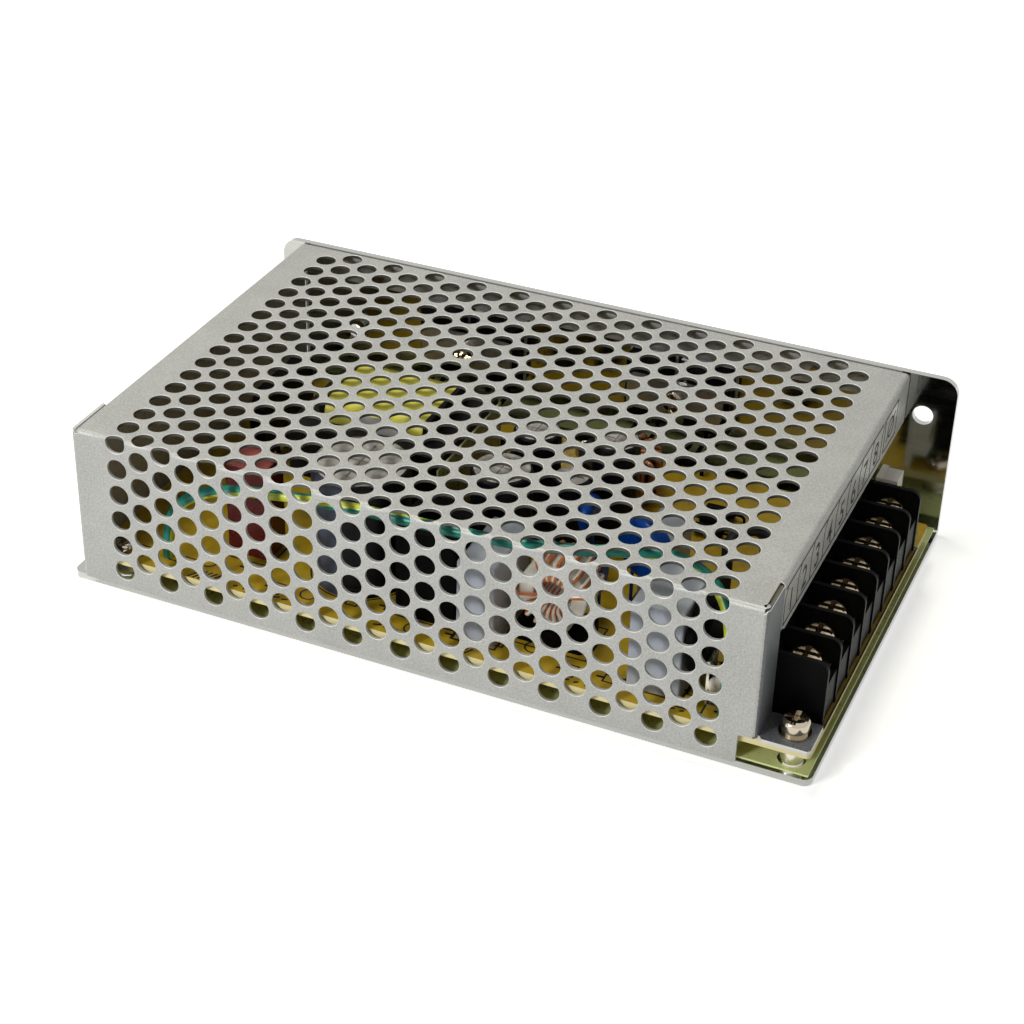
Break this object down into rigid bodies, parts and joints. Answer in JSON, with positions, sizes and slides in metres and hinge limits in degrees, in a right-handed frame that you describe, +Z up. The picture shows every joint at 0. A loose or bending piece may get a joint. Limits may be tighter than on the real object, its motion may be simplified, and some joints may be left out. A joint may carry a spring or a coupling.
{
  "type": "enclosed switching power supply",
  "caption": "Enclosed switching power supply with a perforated folded cover, an L-shaped aluminium chassis and a barrier terminal block with screws at one end.",
  "frame": {"origin": "middle of the underside of the whole unit", "axes": "+X along the length towards the terminals, +Y across to the mounting wall, +Z up out of the base"},
  "size_m": [0.159, 0.097, 0.038],
  "materials": {
    "wall_sheet": "satin, drawn sheet",
    "cover_sheet": "zinc plated, satin",
    "screw_nickel": "nickel plated",
    "insulating_film": "translucent yellow-green film",
    "board": "amber solder mask, cream edge",
    "standoff_metal": "plated",
    "block_moulding": "fine moulded",
    "contact_plate": "tin plated",
    "clamp_metal": "nickel plated",
    "cream_moulding": "semi-gloss",
    "trimmer_metal": "satin",
    "lamp_lens": "translucent green",
    "capacitor_sleeve": "shrink sleeve with a slate stripe, bare can top",
    "output_sleeve": "shrink sleeve, bare can top",
    "ferrite": "ground ferrite",
    "former_moulding": "moulded",
    "yellow_tape": "polyester tape",
    "black_moulding": "moulded",
    "grey_moulding": "moulded",
    "red_coating": "dipped",
    "cream_core": "coated core",
    "orange_wire": "enamelled wire",
    "enamelled_wire": "enamelled wire",
    "blue_coating": "dipped",
    "fuse_glass": "clear",
    "black_sleeve": "sleeving",
    "pad_rubber": "thin pad",
    "bar_steel": "plated",
    "green_insulation": "extruded, yellow stripe"
  },
  "bodies": {
    "case": {"chassis": "wall_sheet", "cover": "cover_sheet", "cover_screws": "screw_nickel", "insulating_sheet": "insulating_film", "circuit_board": "board", "board_standoffs": "standoff_metal", "board_screws": "screw_nickel", "foot_flat_washer": "screw_nickel", "foot_spring_washer": "screw_nickel", "terminal_block": "block_moulding", "terminal_contacts": "contact_plate", "trimmer_body": "cream_moulding", "indicator_lamp": "lamp_lens", "bulk_capacitor": "capacitor_sleeve", "output_capacitors": "output_sleeve", "transformer_core": "ferrite", "transformer_bobbin": "former_moulding", "transformer_winding": "yellow_tape", "barrier_sheet": "insulating_film", "line_filter": "black_moulding", "filter_capacitor_1": "grey_moulding", "filter_capacitor_2": "grey_moulding", "film_capacitor": "red_coating", "output_relay": "grey_moulding", "choke_base": "former_moulding", "choke_core": "cream_core", "choke_windings": "orange_wire", "output_choke_core": "ferrite", "output_choke_winding": "enamelled_wire", "varistor": "blue_coating", "safety_capacitors": "blue_coating", "thermistor": "black_moulding", "fuse_tube": "fuse_glass", "fuse_caps": "contact_plate", "fuse_clips": "contact_plate", "bridge_rectifier": "black_moulding", "control_parts": "black_moulding", "sleeved_link": "black_sleeve", "power_devices": "black_moulding", "insulator_pads": "pad_rubber", "clamp_bars": "bar_steel", "clamp_screws": "screw_nickel", "earth_wire": "green_insulation"},
    "clamp_1": {"clamp_plate_1": "clamp_metal"},
    "screw_1": {"terminal_screw_1": "screw_nickel"},
    "clamp_2": {"clamp_plate_2": "clamp_metal"},
    "screw_2": {"terminal_screw_2": "screw_nickel"},
    "clamp_3": {"clamp_plate_3": "clamp_metal"},
    "screw_3": {"terminal_screw_3": "screw_nickel"},
    "clamp_4": {"clamp_plate_4": "clamp_metal"},
    "screw_4": {"terminal_screw_4": "screw_nickel"},
    "clamp_5": {"clamp_plate_5": "clamp_metal"},
    "screw_5": {"terminal_screw_5": "screw_nickel"},
    "clamp_6": {"clamp_plate_6": "clamp_metal"},
    "screw_6": {"terminal_screw_6": "screw_nickel"},
    "clamp_7": {"clamp_plate_7": "clamp_metal"},
    "screw_7": {"terminal_screw_7": "screw_nickel"},
    "clamp_8": {"clamp_plate_8": "clamp_metal"},
    "screw_8": {"terminal_screw_8": "screw_nickel"},
    "rotor": {"trimmer_rotor": "trimmer_metal"}
  },
  "joints": [
    {"name": "clamp_lift_1", "type": "slide", "parent": "case", "child": "clamp_1", "axis": [0, 0, 1], "range_m": [0, 0.0028]},
    {"name": "screw_turn_1", "type": "hinge", "parent": "clamp_1", "child": "screw_1", "pos_m": [0.0733, -0.03445, 0.0165], "axis": [0, 0, 1], "range_deg": [0, 1680]},
    {"name": "clamp_lift_2", "type": "slide", "parent": "case", "child": "clamp_2", "axis": [0, 0, 1], "range_m": [0, 0.0028]},
    {"name": "screw_turn_2", "type": "hinge", "parent": "clamp_2", "child": "screw_2", "pos_m": [0.0733, -0.02635, 0.0165], "axis": [0, 0, 1], "range_deg": [0, 1680]},
    {"name": "clamp_lift_3", "type": "slide", "parent": "case", "child": "clamp_3", "axis": [0, 0, 1], "range_m": [0, 0.0028]},
    {"name": "screw_turn_3", "type": "hinge", "parent": "clamp_3", "child": "screw_3", "pos_m": [0.0733, -0.01825, 0.0165], "axis": [0, 0, 1], "range_deg": [0, 1680]},
    {"name": "clamp_lift_4", "type": "slide", "parent": "case", "child": "clamp_4", "axis": [0, 0, 1], "range_m": [0, 0.0028]},
    {"name": "screw_turn_4", "type": "hinge", "parent": "clamp_4", "child": "screw_4", "pos_m": [0.0733, -0.01015, 0.0165], "axis": [0, 0, 1], "range_deg": [0, 1680]},
    {"name": "clamp_lift_5", "type": "slide", "parent": "case", "child": "clamp_5", "axis": [0, 0, 1], "range_m": [0, 0.0028]},
    {"name": "screw_turn_5", "type": "hinge", "parent": "clamp_5", "child": "screw_5", "pos_m": [0.0733, -0.00205, 0.0165], "axis": [0, 0, 1], "range_deg": [0, 1680]},
    {"name": "clamp_lift_6", "type": "slide", "parent": "case", "child": "clamp_6", "axis": [0, 0, 1], "range_m": [0, 0.0028]},
    {"name": "screw_turn_6", "type": "hinge", "parent": "clamp_6", "child": "screw_6", "pos_m": [0.0733, 0.00605, 0.0165], "axis": [0, 0, 1], "range_deg": [0, 1680]},
    {"name": "clamp_lift_7", "type": "slide", "parent": "case", "child": "clamp_7", "axis": [0, 0, 1], "range_m": [0, 0.0028]},
    {"name": "screw_turn_7", "type": "hinge", "parent": "clamp_7", "child": "screw_7", "pos_m": [0.0733, 0.01415, 0.0165], "axis": [0, 0, 1], "range_deg": [0, 1680]},
    {"name": "clamp_lift_8", "type": "slide", "parent": "case", "child": "clamp_8", "axis": [0, 0, 1], "range_m": [0, 0.0028]},
    {"name": "screw_turn_8", "type": "hinge", "parent": "clamp_8", "child": "screw_8", "pos_m": [0.0733, 0.02225, 0.0165], "axis": [0, 0, 1], "range_deg": [0, 1680]},
    {"name": "trimmer_turn", "type": "hinge", "parent": "case", "child": "rotor", "pos_m": [0.0723, 0.0333, 0.017], "axis": [1, 0, 0], "range_deg": [-130, 130]}
  ],
  "couplings": [
    {"joint": "screw_turn_1", "follows": "clamp_lift_1", "rad_per_m": 10472},
    {"joint": "screw_turn_2", "follows": "clamp_lift_2", "rad_per_m": 10472},
    {"joint": "screw_turn_3", "follows": "clamp_lift_3", "rad_per_m": 10472},
    {"joint": "screw_turn_4", "follows": "clamp_lift_4", "rad_per_m": 10472},
    {"joint": "screw_turn_5", "follows": "clamp_lift_5", "rad_per_m": 10472},
    {"joint": "screw_turn_6", "follows": "clamp_lift_6", "rad_per_m": 10472},
    {"joint": "screw_turn_7", "follows": "clamp_lift_7", "rad_per_m": 10472},
    {"joint": "screw_turn_8", "follows": "clamp_lift_8", "rad_per_m": 10472}
  ]
}
